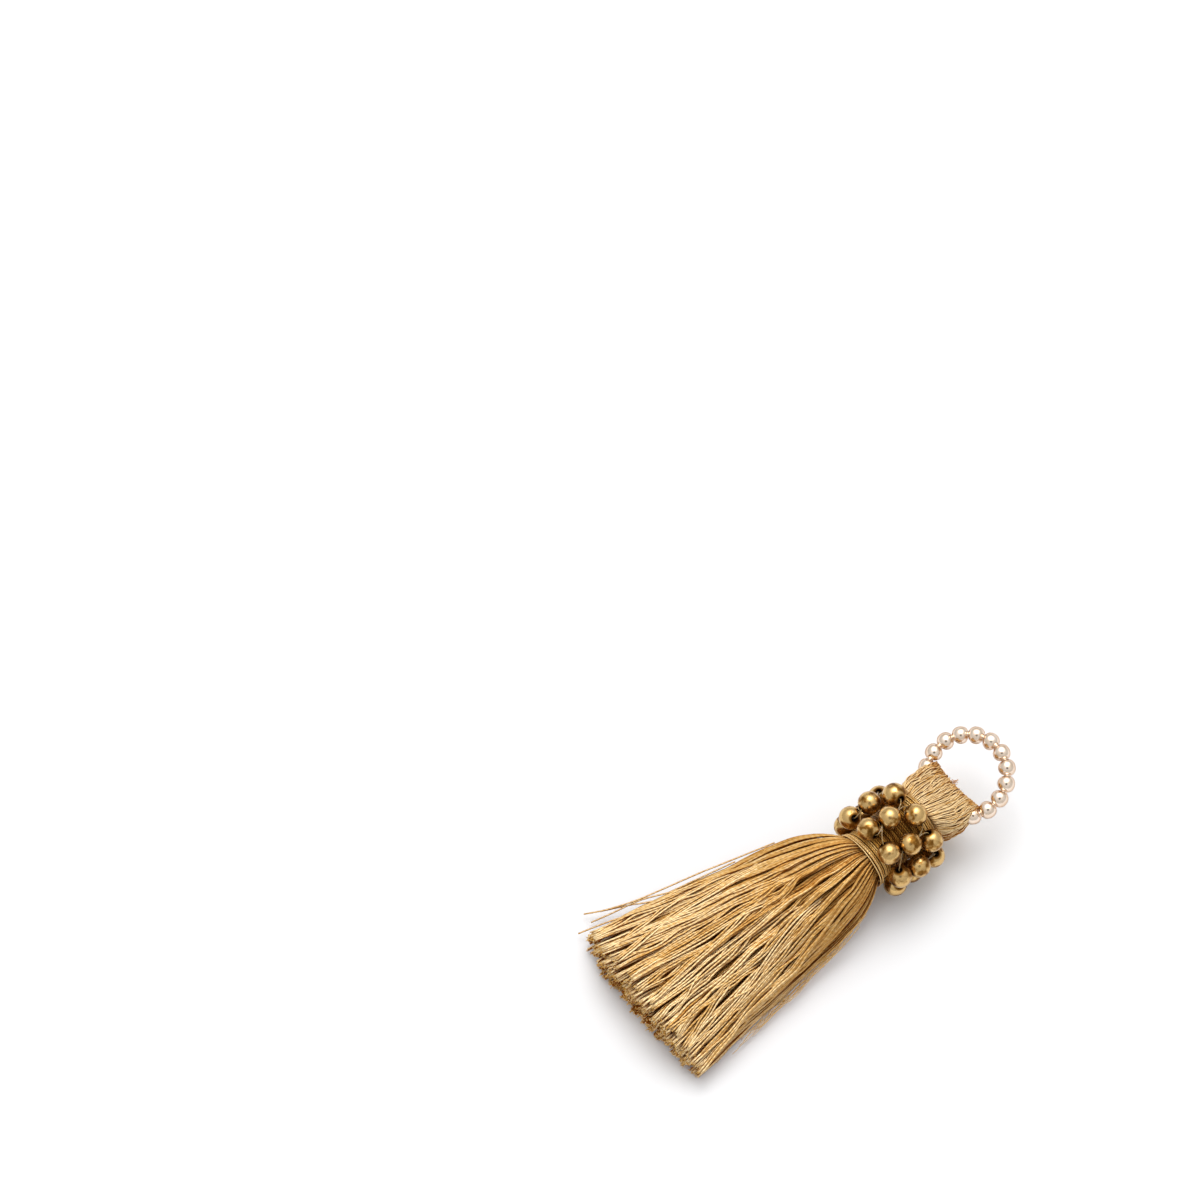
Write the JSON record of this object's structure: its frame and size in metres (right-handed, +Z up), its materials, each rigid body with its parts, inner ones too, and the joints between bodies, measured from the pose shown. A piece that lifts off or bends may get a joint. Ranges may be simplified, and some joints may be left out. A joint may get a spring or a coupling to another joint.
{
  "type": "silk tassel",
  "caption": "Small gold silk tassel lying on its side: a flared skirt of cut silk, a collar of round bronze beads about the neck, and a pale gold beaded ring in the fold of its head.",
  "frame": {"origin": "on the table, under the middle of the tassel's box", "axes": "+X from the cut end of the skirt to the ring, +Z up from the table, +Y to the left looking along +X"},
  "size_m": [0.0591, 0.0258, 0.0142],
  "materials": {
    "silk": "lustrous gold silk thread, cut and laid loose",
    "binding_thread": "glossy wound thread, a shade paler than the skirt",
    "antique_bronze": "polished antique bronze plating, dark in the recesses",
    "pale_gold": "bright polished pale rose gold plating"
  },
  "bodies": {
    "root": {"silk_skein": "silk", "neck_binding": "binding_thread", "beaded_ring": "pale_gold", "bead_head_1": "antique_bronze", "bead_head_2": "antique_bronze", "bead_head_3": "antique_bronze", "bead_head_4": "antique_bronze", "bead_head_5": "antique_bronze", "bead_head_6": "antique_bronze", "bead_head_7": "antique_bronze", "bead_head_8": "antique_bronze", "bead_middle_1": "antique_bronze", "bead_middle_2": "antique_bronze", "bead_middle_3": "antique_bronze", "bead_middle_4": "antique_bronze", "bead_middle_5": "antique_bronze", "bead_middle_6": "antique_bronze", "bead_middle_7": "antique_bronze", "bead_middle_8": "antique_bronze", "bead_skirt_1": "antique_bronze", "bead_skirt_2": "antique_bronze", "bead_skirt_3": "antique_bronze", "bead_skirt_4": "antique_bronze", "bead_skirt_5": "antique_bronze", "bead_skirt_6": "antique_bronze", "bead_skirt_7": "antique_bronze", "bead_skirt_8": "antique_bronze"}
  },
  "joints": []
}
